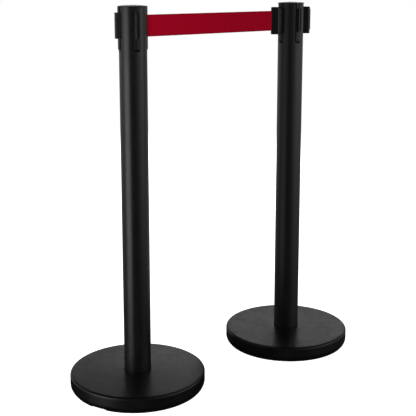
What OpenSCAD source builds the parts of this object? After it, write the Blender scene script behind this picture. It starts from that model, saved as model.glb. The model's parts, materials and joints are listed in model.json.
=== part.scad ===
// Two retractable belt stanchions, joined by the belt of the left one.
// Millimetres, +Z up. The origin is on the floor, midway between the two posts,
// and +X runs from the left post to the right one.
// Every post module is drawn about its own axis with its belt outlet along +X.
// Depths in the head are measured down from the top of the cap.

/* [Stand] */
// Distance between the two posts' axes
post_spacing = 467; // [440:1:490]
// Height of a post over its cap
post_h = 890; // [860:1:1000]
// Direction of the left post's belt outlet
left_turn = -15; // [-20:1:5]
// Direction of the right post's belt outlet
right_turn = -5.7; // [-15:0.1:5]

/* [Base] */
// Radius of the base at its upright wall
base_r = 158.7; // [150:0.1:180]
// Radius of the curve that tucks the wall in towards the floor
foot_fillet = 18; // [16:1:24]
// Height where the wall starts to curve in
foot_z = 15.5; // [12:0.5:16]
// Height of the rounded rim
rim_z = 39.5; // [34:0.5:44]
// Height of the cover where it meets the tube
crown_z = 42; // [40:0.5:48]
// Radius of the rounded rim
rim_fillet = 6; // [4:1:8]
// Wall of the base cover
cover_t = 2; // [1.5:0.5:3]
// Gap between the cover's edge and the floor
cover_gap = 1.2; // [1:0.1:2]
// Width of a finger notch in the cover's edge
notch_w = 40; // [30:1:50]
// Height of a finger notch
notch_h = 5.4; // [4.5:0.1:6]
// Direction of the left base's finger notches
left_notch_turn = -157.7; // [-180:0.1:180]
// Direction of the right base's finger notches
right_notch_turn = -51.5; // [-180:0.1:180]

/* [Tube] */
// Outer radius of the tube
tube_r = 31.5; // [30:0.5:34]
// Wall of the tube
tube_t = 1.5; // [1:0.5:2]

/* [Head] */
// Radius of the cap
cap_r = 33; // [32:0.5:34]
// Thickness of the cap over the tube
cap_t = 4; // [3.5:0.5:5]
// Rise of the cap's low dome over its rim
cap_dome = 2; // [1:0.5:2.5]
// Width of the four ribs that stand in the tube's notches
rib_w = 13; // [11:0.5:15]
// Gap round a rib in the tube's notch
rib_fit = 1.2; // [0.2:0.1:1.5]
// Radius of the ribs' faces
rib_face_r = 33.5; // [33:0.1:34]
// Depth of the ribs' rounded ends
rib_end_d = 101; // [98:1:104]
// Depth of a receiver's open top
receiver_top_d = 16; // [14:1:18]
// Height of a receiver
receiver_h = 57; // [52:1:60]
// Width of a receiver
receiver_w = 11; // [10:0.5:13]
// Radius of a receiver's outer face
receiver_face_r = 40.3; // [40:0.1:41]

/* [Belt] */
// Height of the webbing
belt_w = 48.5; // [40:0.5:50]
// Thickness of the webbing
belt_t = 0.7; // [0.5:0.1:1]
// Full length of one belt
belt_length = 2000; // [1500:10:2200]
// Depth of the webbing's centre line
belt_d = 45.8; // [44:0.1:48]
// Height of the clip on the belt's end
clip_h = 67; // [62:1:76]
// Width of the clip
clip_w = 21; // [18:1:24]

/* [Hidden] */
$fn = 96;
PARTS = [
    "base_cover", "base_weight", "floor_pad", "base_bolt", "base_washer", "foot_plug", "tube",
    "head_core", "receiver_left", "receiver_back", "receiver_right", "outlet_guide", "guide_pin",
    "cassette_lid", "cassette_floor", "cassette_screws", "cap", "axle", "axle_clip",
    "spring_cup", "power_spring", "spool", "belt_roll", "belt",
    "clip_body", "clip_tongue", "clip_pin"
];
SIDES = ["left_", "right_"];

// Base
weight_r = 147;
weight_z = 5;
weight_top_z = 22;
hub_r = 45;
hub_top_z = 39.6;
pad_r = 141;
bolt_r = 6;
bolt_head_z = weight_z + 0.5;
bolt_head_h = 7.5;
washer_r = 12;
washer_z = bolt_head_z + bolt_head_h;
washer_t = 2.5;
counterbore_r = 13.5;
plug_h = 26;

// Tube and cassette
tube_in_r = tube_r - tube_t;
tube_top = post_h - cap_t;
core_gap = 0.1;
core_r = tube_in_r - core_gap;
core_in_r = 26.4;
core_end_d = 102;
rib_taper = 5;
lid_d = 6;
plate_t = 3;
pin_r = 1.1;
pin_x = 24.85;
pin_y = -2.3;
screw_r = 1.1;
screw_head_r = 1.8;

// Spool and spring
axle_r = 3;
running_gap = 0.05;
end_play = 0.3;
arbor_r = 5;
drum_r = 7;
flange_r = 23.5;
flange_t = 1.6;
belt_side_gap = 0.8;
spring_in_r = 5.6;
spring_out_r = 20.6;
spring_strip = 0.4;
spring_turns = 7;
cup_r = 22.5;
cup_t = 1.5;
cup_top_d = 76;

// Receiver slot and the tongue that hangs in it
slot_in_r = 34.2;
slot_out_r = 37.9;
slot_w = 7;
slit_w = 2.2;
slot_floor_t = 3;
fit_gap = 0.3;
groove_w = 2.4;
groove_t = 1.2;

// Clip, measured out from the axis of the post that it hangs on
clip_back = 40.9;
clip_front = 48.4;
clip_taper = 56;
nose_tip = 59.7;
nose_half = 3.2;
mouth_w = 2.4;
mouth_l = 11;
clip_pin_r = 1.3;
clip_pin_x = 45.5;

// Outlet
outlet_w = 9;
slit_gap = 2.4;
outlet_spare = 2;

// Height of the belt's lower edge, and the depths that its height leads to
belt_z = post_h - belt_d - belt_w / 2;
belt_top_d = belt_d - belt_w / 2;
belt_end_d = belt_d + belt_w / 2;
clip_z = post_h - belt_d - clip_h / 2;
drum_top_d = belt_top_d - belt_side_gap;
drum_end_d = belt_end_d + belt_side_gap;

// Clip placing: on the belt side of the other post, or home against its own outlet
home_gap = 0.3;
home_shift = rib_face_r + home_gap + nose_tip;

// Points on a circle, from one angle to another
function arc(centre, r, from, to, steps = 6) = [
    for (i = [0:steps])
        let (a = from + (to - from) * i / steps)
        centre + r * [cos(a), sin(a)]
];

// A point of a turned post's plan, in the shared plan
function in_plan(post_x, turn, p) = [
    post_x + p.x * cos(turn) - p.y * sin(turn),
    p.x * sin(turn) + p.y * cos(turn)
];

// A cubic curve through two ends with their handles
function curve(a, b, c, d, steps) = [
    for (i = [0:steps])
        let (t = i / steps, s = 1 - t)
        s * s * s * a + 3 * s * s * t * b + 3 * s * t * t * c + t * t * t * d
];

// The outline of a strip of one thickness along a path
function strip(path, t) = let (
    last = len(path) - 1,
    side = [
        for (i = [0:last])
            let (run = path[min(i + 1, last)] - path[max(i - 1, 0)])
            [-run.y, run.x] / norm(run) * t / 2
    ]
) concat(
    [for (i = [0:last]) path[i] + side[i]],
    [for (i = [last:-1:0]) path[i] - side[i]]
);

// Radius of the roll that a length of belt makes on the drum
function roll_r(length) = sqrt(drum_r * drum_r + length * belt_t / PI);

// Stands a module at a post, turned so that its outlet points the right way
module at_post(side) {
    x = side == 0 ? -post_spacing / 2 : post_spacing / 2;
    turn = side == 0 ? left_turn : right_turn;
    translate([x, 0, 0]) rotate(turn) children();
}

// Extrudes a plan between two depths below the top of the cap
module between(top_d, end_d) {
    translate([0, 0, post_h - end_d]) linear_extrude(end_d - top_d) children();
}

// A ring, or a disc where the inner radius is left out
module ring(out_r, in_r = 0) {
    difference() {
        circle(out_r);
        if (in_r > 0) circle(in_r);
    }
}

module base_cover(notch_turn) {
    rim_r = base_r - rim_fillet;
    rim = [rim_r, rim_z - rim_fillet];
    foot = [base_r - foot_fillet, foot_z];
    hole_r = tube_r + fit_gap;
    drop = foot_z - cover_gap;
    inner_fillet = foot_fillet - cover_t;
    section = concat(
        [[hole_r, crown_z]],
        arc(rim, rim_fillet, 88, 0),
        arc(foot, foot_fillet, 0, -asin(drop / foot_fillet)),
        arc(foot, inner_fillet, -asin(drop / inner_fillet), 0),
        arc(rim, rim_fillet - cover_t, 0, 88),
        [[hole_r, crown_z - cover_t]]
    );
    color("#1d1e20") difference() {
        rotate_extrude($fn = 180) polygon(section);
        for (turn = [0, 180])
            rotate(notch_turn + turn) finger_notch();
    }
}

// The space of a finger notch, with rounded upper corners
module finger_notch() {
    corner_r = 2.5;
    half = notch_w / 2 - corner_r;
    translate([weight_r, 0, 0]) rotate([90, 0, 90]) linear_extrude(30) {
        translate([-notch_w / 2, -1]) square([notch_w, notch_h - corner_r + 1]);
        translate([-half, 0]) square([2 * half, notch_h]);
        for (side = [-1, 1])
            translate([side * half, notch_h - corner_r]) circle(corner_r, $fn = 24);
    }
}

module base_weight() {
    chamfer = 3;
    section = [
        [bolt_r + 0.5, weight_z],
        [weight_r - chamfer, weight_z],
        [weight_r, weight_z + chamfer],
        [weight_r, weight_top_z - chamfer],
        [weight_r - chamfer, weight_top_z],
        [hub_r + chamfer, weight_top_z],
        [hub_r, hub_top_z],
        [bolt_r + 0.5, hub_top_z]
    ];
    color("#3a3a3c") difference() {
        rotate_extrude($fn = 180) polygon(section);
        cylinder(h = washer_z + washer_t, r = counterbore_r);
    }
}

module floor_pad() {
    color("#101011") linear_extrude(weight_z, convexity = 4) ring(pad_r, counterbore_r);
}

module base_bolt() {
    head_r = 10.4;
    tip_z = hub_top_z + plug_h - 6;
    color("#8d8f92") {
        translate([0, 0, bolt_head_z]) cylinder(h = bolt_head_h, r = head_r, $fn = 6);
        translate([0, 0, washer_z - 1]) cylinder(h = tip_z - washer_z + 1, r = bolt_r);
    }
}

module base_washer() {
    color("#8d8f92") translate([0, 0, washer_z]) linear_extrude(washer_t) ring(washer_r, bolt_r + 0.3);
}

module foot_plug() {
    color("#8d8f92") translate([0, 0, hub_top_z]) linear_extrude(plug_h) ring(core_r, bolt_r + 0.05);
}

module tube() {
    notch = rib_w + 2 * rib_fit;
    end_r = notch / 2;
    end_z = post_h - rib_end_d - rib_fit + end_r;
    color("#1b1b1c") difference() {
        translate([0, 0, hub_top_z]) linear_extrude(tube_top - hub_top_z) ring(tube_r, tube_in_r);
        for (turn = [0, 90])
            rotate([90, 0, turn])
                linear_extrude(3 * tube_r, center = true) {
                    translate([-end_r, end_z]) square([notch, rib_end_d]);
                    translate([0, end_z]) circle(end_r);
                }
    }
}

// Face of one rib, drawn upright: straight sides and a round lower end
module rib_face() {
    end_r = rib_w / 2;
    translate([-end_r, post_h - rib_end_d + end_r]) square([rib_w, rib_end_d - cap_t - end_r]);
    translate([0, post_h - rib_end_d + end_r]) circle(end_r);
}

// One rib: round like the tube, with a tapered lower end
module rib() {
    root_r = core_r - 1;
    section = [
        [root_r, post_h - cap_t],
        [rib_face_r, post_h - cap_t],
        [rib_face_r, post_h - rib_end_d + rib_taper],
        [tube_r, post_h - rib_end_d],
        [root_r, post_h - rib_end_d]
    ];
    intersection() {
        rotate_extrude() polygon(section);
        rotate([90, 0, 90]) linear_extrude(2 * rib_face_r) rib_face();
    }
}

module head_core() {
    color("#232325") difference() {
        union() {
            between(cap_t, core_end_d) ring(core_r, core_in_r);
            for (turn = [0:90:270])
                rotate(turn) rib();
        }
        outlet_space(outlet_w);
        for (turn = [90:90:270])
            rotate(turn) between(cap_t - 1, receiver_top_d + receiver_h)
                translate([rib_face_r - groove_t, -groove_w / 2]) square([groove_t + 1, groove_w]);
        for (turn = [45:120:285])
            rotate(turn) between(core_end_d - 9, core_end_d + 1)
                translate([(core_r + core_in_r) / 2, 0]) circle(screw_r, $fn = 24);
    }
}

// The upright space in the outlet rib, of any width
module outlet_space(width) {
    between(belt_top_d - 2 * outlet_spare, belt_end_d + 2 * outlet_spare)
        translate([core_in_r - 1, -width / 2]) square([rib_face_r - core_in_r + 2, width]);
}

module outlet_guide() {
    color("#1a1a1b") difference() {
        intersection() {
            outlet_space(outlet_w);
            between(0, rib_end_d) ring(rib_face_r, core_in_r);
        }
        between(belt_top_d - outlet_spare, belt_end_d + outlet_spare)
            translate([core_in_r - 2, -slit_gap / 2]) square([rib_face_r, slit_gap]);
    }
}

// The rod that the belt turns round on its way from the roll to the outlet
module guide_pin() {
    color("#b8babd") between(lid_d + plate_t, core_end_d) translate([pin_x, pin_y]) circle(pin_r, $fn = 24);
}

// One C-shaped receiver: open at the top and closed at the bottom
module receiver(turn) {
    corner = 1.2;
    half = receiver_w / 2;
    end_d = receiver_top_d + receiver_h;
    root_x = rib_face_r - 1;
    outline = [
        [root_x, -half],
        [receiver_face_r - corner, -half],
        [receiver_face_r, -half + corner],
        [receiver_face_r, half - corner],
        [receiver_face_r - corner, half],
        [root_x, half]
    ];
    color("#202022") rotate(turn) difference() {
        between(receiver_top_d, end_d) difference() {
            polygon(outline);
            circle(rib_face_r);
        }
        between(receiver_top_d - 1, end_d - slot_floor_t) {
            translate([slot_in_r, -slot_w / 2]) square([slot_out_r - slot_in_r, slot_w]);
            translate([slot_in_r, -slit_w / 2]) square([receiver_face_r, slit_w]);
        }
    }
}

module cassette_lid() {
    color("#2c2c2e") between(lid_d, lid_d + plate_t) ring(core_in_r - core_gap, axle_r + running_gap);
}

module cassette_floor() {
    color("#2c2c2e") between(core_end_d, core_end_d + plate_t) difference() {
        ring(core_r, axle_r);
        for (turn = [45:120:285])
            rotate(turn) translate([(core_r + core_in_r) / 2, 0]) circle(screw_r, $fn = 24);
    }
}

module cassette_screws() {
    under_d = core_end_d + plate_t;
    color("#b8babd") for (turn = [45:120:285])
        rotate(turn) translate([(core_r + core_in_r) / 2, 0, 0]) {
            between(core_end_d - 8, under_d) circle(screw_r, $fn = 24);
            between(under_d, under_d + 1.6) circle(screw_head_r, $fn = 24);
        }
}

module cap() {
    edge = 0.8;
    skirt_r = core_in_r - core_gap;
    skirt_t = 2.4;
    dome_r = cap_r - edge;
    section = concat(
        [for (i = [0:6]) [dome_r * i / 6, post_h - cap_dome * pow(i / 6, 2)]],
        [
            [cap_r, post_h - cap_dome - edge],
            [cap_r, post_h - cap_t],
            [skirt_r, post_h - cap_t],
            [skirt_r, post_h - lid_d],
            [skirt_r - skirt_t, post_h - lid_d],
            [skirt_r - skirt_t, post_h - cap_t],
            [0, post_h - cap_t]
        ]
    );
    color("#262628") rotate_extrude() polygon(section);
}

module axle() {
    color("#b8babd") between(lid_d, core_end_d + plate_t + 2.5) circle(axle_r);
}

module axle_clip() {
    color("#8d8f92") between(core_end_d + plate_t, core_end_d + plate_t + 1) ring(6, axle_r);
}

module spring_cup() {
    color("#9a9c9f") {
        between(cup_top_d, core_end_d - cup_t) ring(cup_r, cup_r - cup_t);
        between(core_end_d - cup_t, core_end_d) ring(cup_r, axle_r + running_gap);
    }
}

module power_spring() {
    steps = spring_turns * 24;
    path = [
        for (i = [0:steps])
            let (r = spring_in_r + (spring_out_r - spring_in_r) * i / steps)
            r * [cos(i * 15), sin(i * 15)]
    ];
    color("#6f7175") between(cup_top_d + 2, core_end_d - cup_t - 1) polygon(strip(path, spring_strip));
}

module spool() {
    bore_r = axle_r + running_gap;
    color("#dcdcd8") {
        between(lid_d + plate_t + end_play, drum_top_d - flange_t) ring(arbor_r, bore_r);
        between(drum_top_d - flange_t, drum_top_d) ring(flange_r, bore_r);
        between(drum_top_d, drum_end_d) ring(drum_r, bore_r);
        between(drum_end_d, drum_end_d + flange_t) ring(flange_r, bore_r);
        between(drum_end_d + flange_t, core_end_d - cup_t - end_play) ring(arbor_r, bore_r);
    }
}

module belt_roll(wound) {
    color("#b3101f") between(belt_top_d, belt_end_d) ring(roll_r(wound), drum_r + running_gap);
}

// Free webbing along a path in plan
module webbing(path) {
    color("#b3101f") translate([0, 0, belt_z]) linear_extrude(belt_w) polygon(strip(path, belt_t));
}

// Plan of the belt inside the head, from where it leaves the roll to the outlet
function inner_run(wound) = let (
    gap = 0.6,
    r = roll_r(wound) + belt_t / 2 + gap,
    leave = acos(r / pin_x)
) [
    r * [cos(leave), sin(leave)],
    [pin_x + 0.5, -0.2],
    [pin_x + 2, 0]
];

// The left belt crosses to the clip on the right post
left_wound = belt_length - post_spacing + rib_face_r + nose_tip;
left_clip_turn = right_turn + 180;

module left_belt() {
    handle = 14;
    home = -post_spacing / 2;
    away = post_spacing / 2;
    inside = [for (p = inner_run(left_wound)) in_plan(home, left_turn, p)];
    free = curve(
        in_plan(home, left_turn, [rib_face_r, 0]),
        in_plan(home, left_turn, [rib_face_r + handle, 0]),
        in_plan(away, left_clip_turn, [nose_tip + handle, 0]),
        in_plan(away, left_clip_turn, [nose_tip, 0]),
        24
    );
    tip = in_plan(away, left_clip_turn, [nose_tip - mouth_l + 1, 0]);
    webbing(concat(inside, free, [tip]));
}

module right_belt() {
    tip = [home_shift - nose_tip + mouth_l - 1, 0];
    webbing(concat(inner_run(belt_length - 40), [[rib_face_r, 0], tip]));
}

// Places a clip module: docked on the far post, or home at its own outlet
module at_clip(side) {
    if (side == 0)
        translate([post_spacing / 2, 0, 0]) rotate(left_clip_turn) children();
    else
        at_post(1) translate([home_shift, 0, 0]) rotate(180) children();
}

module clip_body() {
    back_corner = 2;
    front_corner = 3;
    half = clip_w / 2;
    side = concat(
        arc([clip_back + back_corner, half - back_corner], back_corner, 180, 90),
        arc([clip_front - front_corner, half - front_corner], front_corner, 90, clip_taper),
        arc([nose_tip - nose_half, 0], nose_half, clip_taper, 0)
    );
    outline = concat(side, [for (i = [len(side) - 2:-1:0]) [side[i].x, -side[i].y]]);
    color("#202022") difference() {
        translate([0, 0, clip_z]) linear_extrude(clip_h) polygon(outline);
        translate([nose_tip - mouth_l, -mouth_w / 2, belt_z - 1]) cube([mouth_l + 1, mouth_w, belt_w + 2]);
        translate([clip_pin_x, 0, clip_z - 1]) cylinder(h = clip_h + 2, r = clip_pin_r, $fn = 32);
    }
}

// The T-shaped tongue: a neck through the slit and a head behind it
module clip_tongue() {
    top_d = receiver_top_d + 2;
    end_d = receiver_top_d + receiver_h - slot_floor_t - fit_gap;
    neck_w = slit_w - 2 * fit_gap;
    head_w = slot_w - 2 * fit_gap;
    color("#2a2a2c") between(top_d, end_d) {
        translate([slot_in_r + fit_gap, -neck_w / 2]) square([clip_back - slot_in_r - fit_gap, neck_w]);
        translate([slot_in_r + fit_gap, -head_w / 2])
            square([slot_out_r - slot_in_r - 2 * fit_gap, head_w]);
    }
}

module clip_pin() {
    color("#b8babd") translate([clip_pin_x, 0, clip_z + 0.5])
        cylinder(h = clip_h - 1, r = clip_pin_r, $fn = 32);
}

module is_node(side, part) {
    children();
}

for (side = [0, 1]) {
    notch_turn = side == 0 ? left_notch_turn - left_turn : right_notch_turn - right_turn;
    wound = side == 0 ? left_wound : belt_length - 40;
    is_node(side, "base_cover") at_post(side) base_cover(notch_turn);
    is_node(side, "base_weight") at_post(side) base_weight();
    is_node(side, "floor_pad") at_post(side) floor_pad();
    is_node(side, "base_bolt") at_post(side) base_bolt();
    is_node(side, "base_washer") at_post(side) base_washer();
    is_node(side, "foot_plug") at_post(side) foot_plug();
    is_node(side, "tube") at_post(side) tube();
    is_node(side, "head_core") at_post(side) head_core();
    is_node(side, "receiver_left") at_post(side) receiver(90);
    is_node(side, "receiver_back") at_post(side) receiver(180);
    is_node(side, "receiver_right") at_post(side) receiver(270);
    is_node(side, "outlet_guide") at_post(side) outlet_guide();
    is_node(side, "guide_pin") at_post(side) guide_pin();
    is_node(side, "cassette_lid") at_post(side) cassette_lid();
    is_node(side, "cassette_floor") at_post(side) cassette_floor();
    is_node(side, "cassette_screws") at_post(side) cassette_screws();
    is_node(side, "cap") at_post(side) cap();
    is_node(side, "axle") at_post(side) axle();
    is_node(side, "axle_clip") at_post(side) axle_clip();
    is_node(side, "spring_cup") at_post(side) spring_cup();
    is_node(side, "power_spring") at_post(side) power_spring();
    is_node(side, "spool") at_post(side) spool();
    is_node(side, "belt_roll") at_post(side) belt_roll(wound);
    is_node(side, "clip_body") at_clip(side) clip_body();
    is_node(side, "clip_tongue") at_clip(side) clip_tongue();
    is_node(side, "clip_pin") at_clip(side) clip_pin();
}
is_node(0, "belt") left_belt();
is_node(1, "belt") at_post(1) right_belt();
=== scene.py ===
"""Looks of the two retractable belt stanchions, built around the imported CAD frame. Metres, +Z up."""

import json
import math

import bmesh
import bpy
import numpy as np
from mathutils import Matrix, Vector


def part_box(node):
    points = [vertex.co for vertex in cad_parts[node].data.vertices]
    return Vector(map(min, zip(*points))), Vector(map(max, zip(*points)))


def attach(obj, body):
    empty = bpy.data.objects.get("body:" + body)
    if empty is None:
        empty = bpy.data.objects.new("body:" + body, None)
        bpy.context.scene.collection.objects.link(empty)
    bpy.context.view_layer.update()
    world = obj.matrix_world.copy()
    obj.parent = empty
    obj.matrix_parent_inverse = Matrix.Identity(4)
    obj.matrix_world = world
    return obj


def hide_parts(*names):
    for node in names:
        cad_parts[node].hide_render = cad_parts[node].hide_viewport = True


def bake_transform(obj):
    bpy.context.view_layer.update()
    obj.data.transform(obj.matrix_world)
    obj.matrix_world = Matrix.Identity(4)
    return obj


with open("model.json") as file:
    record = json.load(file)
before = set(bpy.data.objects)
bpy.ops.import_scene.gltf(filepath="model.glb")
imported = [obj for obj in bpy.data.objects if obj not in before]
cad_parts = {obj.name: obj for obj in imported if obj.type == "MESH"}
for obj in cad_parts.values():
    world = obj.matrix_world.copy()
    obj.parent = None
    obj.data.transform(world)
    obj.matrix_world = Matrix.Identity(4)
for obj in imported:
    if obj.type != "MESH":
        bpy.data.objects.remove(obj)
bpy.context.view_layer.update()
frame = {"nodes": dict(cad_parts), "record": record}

MM = 0.001
SIDES = ("left", "right")

# ---------------------------------------------------------------- camera

# The camera stands a little higher than the caps and looks down at the pair.
CAMERA_PLACE = (-1.3325, -1.7370, 0.9472)
CAMERA_YAW = math.radians(36.955)
CAMERA_PITCH = math.radians(10.785)
CAMERA_LENS = 79.76
CAMERA_SENSOR = 36
CAMERA_SHIFT = -0.13
CAMERA_REACH = (0.05, 200)


def add_camera():
    data = bpy.data.cameras.new("camera")
    data.lens = CAMERA_LENS
    data.sensor_width = CAMERA_SENSOR
    data.shift_y = CAMERA_SHIFT
    data.clip_start, data.clip_end = CAMERA_REACH
    camera = bpy.data.objects.new("camera", data)
    camera.location = CAMERA_PLACE
    camera.rotation_euler = (math.pi / 2 - CAMERA_PITCH, 0, -CAMERA_YAW)
    bpy.context.scene.collection.objects.link(camera)
    bpy.context.scene.camera = camera


add_camera()

# ---------------------------------------------------------------- places, from the frame


def middle(node):
    low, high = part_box(node)
    return (low + high) / 2


def span(node):
    low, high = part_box(node)
    return high - low


AXIS = {side: Vector((middle(f"{side}_tube").x, middle(f"{side}_tube").y, 0)) for side in SIDES}


def outlet_turn(side):
    out = middle(f"{side}_outlet_guide") - AXIS[side]
    return math.atan2(out.y, out.x)


TURN = {side: outlet_turn(side) for side in SIDES}
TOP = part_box("left_cap")[1].z
TUBE_R = span("left_tube").x / 2
TUBE_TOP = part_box("left_tube")[1].z
BASE_R = span("left_base_cover").x / 2
COVER_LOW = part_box("left_base_cover")[0].z
COVER_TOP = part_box("left_base_cover")[1].z
BELT_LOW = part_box("left_belt")[0].z
BELT_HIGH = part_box("left_belt")[1].z
BELT_MID = (BELT_LOW + BELT_HIGH) / 2
RECEIVER_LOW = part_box("left_receiver_back")[0].z
RECEIVER_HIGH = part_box("left_receiver_back")[1].z
CLIP_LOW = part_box("left_clip_body")[0].z
CLIP_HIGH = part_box("left_clip_body")[1].z


def post_place(side, turn=0.0):
    """The matrix that carries a shape drawn about the origin to a post, with +X along the outlet."""
    return Matrix.Translation(AXIS[side]) @ Matrix.Rotation(TURN[side] + turn, 4, "Z")


# ---------------------------------------------------------------- mesh tools

# Edges sharper than this many degrees stay sharp, where a shape asks for nothing else
SMOOTH_LIMIT = 35


def new_object(name, vertices, faces, sharp=SMOOTH_LIMIT):
    """A mesh object with its faces turned outwards, smooth but for the edges sharper than the angle."""
    mesh = bpy.data.meshes.new(name)
    mesh.from_pydata([tuple(v) for v in vertices], [], faces)
    mesh.validate()
    work = bmesh.new()
    work.from_mesh(mesh)
    bmesh.ops.recalc_face_normals(work, faces=work.faces)
    work.to_mesh(mesh)
    work.free()
    mesh.shade_smooth()
    mesh.set_sharp_from_angle(angle=math.radians(sharp))
    obj = bpy.data.objects.new(name, mesh)
    bpy.context.scene.collection.objects.link(obj)
    return obj


def arc(cx, cy, radius, start, end, steps):
    """Points on a circle, between two angles in degrees."""
    angles = [math.radians(start + (end - start) * i / steps) for i in range(steps + 1)]
    return [(cx + radius * math.cos(a), cy + radius * math.sin(a)) for a in angles]


def grid_faces(rows, columns, closed_rows=False):
    """Four-sided faces between rows of vertices. Each row is a closed outline, and the rows may close too."""
    steps = rows if closed_rows else rows - 1
    faces = []
    for i in range(steps):
        j = (i + 1) % rows
        for k in range(columns):
            m = (k + 1) % columns
            faces.append((i * columns + k, j * columns + k, j * columns + m, i * columns + m))
    return faces


def part_lathe(name, profile, steps, start, end):
    """A closed profile of (radius, height) turned part of the way about Z, with flat ends."""
    n = len(profile)
    vertices = []
    for i in range(steps + 1):
        a = start + (end - start) * i / steps
        vertices += [(r * math.cos(a), r * math.sin(a), z) for r, z in profile]
    faces = grid_faces(steps + 1, n)
    faces.append(tuple(range(n - 1, -1, -1)))
    faces.append(tuple(steps * n + k for k in range(n)))
    return new_object(name, vertices, faces)


def disc_lathe(name, profile, steps, sharp):
    """A profile that starts and ends on the axis, turned about Z, with one vertex at each pole."""
    inner = profile[1:-1]
    m = len(inner)
    vertices = [(0, 0, profile[0][1]), (0, 0, profile[-1][1])]
    for i in range(steps):
        a = 2 * math.pi * i / steps
        vertices += [(r * math.cos(a), r * math.sin(a), z) for r, z in inner]
    faces = []
    for i in range(steps):
        j = (i + 1) % steps
        faces.append((0, 2 + i * m, 2 + j * m))
        faces.append((1, 2 + j * m + m - 1, 2 + i * m + m - 1))
        for k in range(m - 1):
            faces.append((2 + i * m + k, 2 + i * m + k + 1, 2 + j * m + k + 1, 2 + j * m + k))
    return new_object(name, vertices, faces, sharp=sharp)


def prism(name, outline, low, high):
    """An outline in plan, drawn straight up between two heights."""
    n = len(outline)
    vertices = [(x, y, low) for x, y in outline] + [(x, y, high) for x, y in outline]
    faces = [tuple(range(n - 1, -1, -1)), tuple(range(n, 2 * n))]
    faces += [(i, (i + 1) % n, n + (i + 1) % n, n + i) for i in range(n)]
    return new_object(name, vertices, faces)


def box_mesh(name, low, high):
    x0, y0, z0 = low
    x1, y1, z1 = high
    return prism(name, [(x0, y0), (x1, y0), (x1, y1), (x0, y1)], z0, z1)


def apply_modifiers(obj):
    """Swaps an object's mesh for the one that its modifiers make."""
    graph = bpy.context.evaluated_depsgraph_get()
    mesh = bpy.data.meshes.new_from_object(obj.evaluated_get(graph))
    obj.modifiers.clear()
    old = obj.data
    obj.data = mesh
    mesh.name = obj.name
    bpy.data.meshes.remove(old)


def cut(obj, cutter):
    """Takes one closed mesh away from another."""
    boolean = obj.modifiers.new("cut", "BOOLEAN")
    boolean.operation = "DIFFERENCE"
    boolean.solver = "EXACT"
    boolean.object = cutter
    apply_modifiers(obj)
    bpy.data.objects.remove(cutter)


def round_edges(obj, width, segments, angle):
    """Rounds every edge sharper than the angle."""
    bevel = obj.modifiers.new("round", "BEVEL")
    bevel.width = width
    bevel.segments = segments
    bevel.limit_method = "ANGLE"
    bevel.angle_limit = math.radians(angle)
    bevel.harden_normals = False
    apply_modifiers(obj)
    obj.data.shade_smooth()
    obj.data.set_sharp_from_angle(angle=math.radians(SMOOTH_LIMIT))


def joined(name, objects):
    """Several meshes as one object."""
    work = bmesh.new()
    for part in objects:
        work.from_mesh(part.data)
    mesh = bpy.data.meshes.new(name)
    work.to_mesh(mesh)
    work.free()
    obj = bpy.data.objects.new(name, mesh)
    bpy.context.scene.collection.objects.link(obj)
    for part in objects:
        bpy.data.objects.remove(part)
    return obj


# How far a large face outweighs the small ones next to it, of 100
FLAT_FACE_WEIGHT = 80


def even_shading(obj):
    """Lets the large flat faces keep their own direction next to small rounded edges."""
    weighted = obj.modifiers.new("shading", "WEIGHTED_NORMAL")
    weighted.keep_sharp = True
    weighted.weight = FLAT_FACE_WEIGHT
    apply_modifiers(obj)


def finish_piece(obj, place, body, slot, *nodes):
    """Puts a shape in its place, and says what it rides on and what it stands for."""
    even_shading(obj)
    obj.data.transform(place)
    obj.data.materials.clear()
    obj.data.materials.append(MATERIALS[slot])
    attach(obj, body)
    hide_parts(*nodes)


# ---------------------------------------------------------------- materials

WHITE = (1, 1, 1, 1)


class Nodes:
    """A material's node tree, with short ways to add nodes."""

    def __init__(self, name):
        self.material = bpy.data.materials.new(name)
        self.material.use_nodes = True
        self.tree = self.material.node_tree

    def link(self, start, end):
        self.tree.links.new(start, end)

    def fed(self, kind, inputs, **settings):
        """A new node. Each of its inputs is given as a number or as the output to link there."""
        node = self.tree.nodes.new("ShaderNode" + kind)
        for name, value in settings.items():
            setattr(node, name, value)
        for name, value in inputs.items():
            if isinstance(value, bpy.types.NodeSocket):
                self.link(value, node.inputs[name])
            else:
                node.inputs[name].default_value = value
        return node

    def place(self, output="Object"):
        return self.fed("TexCoord", {}).outputs[output]

    def parts(self, vector):
        """The three coordinates of a vector."""
        return self.fed("SeparateXYZ", {"Vector": vector}).outputs

    def math(self, operation, a, b=0.0):
        return self.fed("Math", {0: a, 1: b}, operation=operation).outputs["Value"]

    def ranged(self, value, low, high, new_low, new_high, interpolation="LINEAR"):
        inputs = {"Value": value, "From Min": low, "From Max": high, "To Min": new_low, "To Max": new_high}
        return self.fed("MapRange", inputs, interpolation_type=interpolation).outputs["Result"]

    def ramp(self, value, *stops, interpolation="LINEAR"):
        node = self.fed("ValToRGB", {"Fac": value})
        node.color_ramp.interpolation = interpolation
        elements = node.color_ramp.elements
        while len(elements) < len(stops):
            elements.new(0.5)
        for element, (position, colour) in zip(elements, stops):
            element.position = position
            element.color = (*colour, 1.0)
        return node.outputs["Color"]


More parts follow.
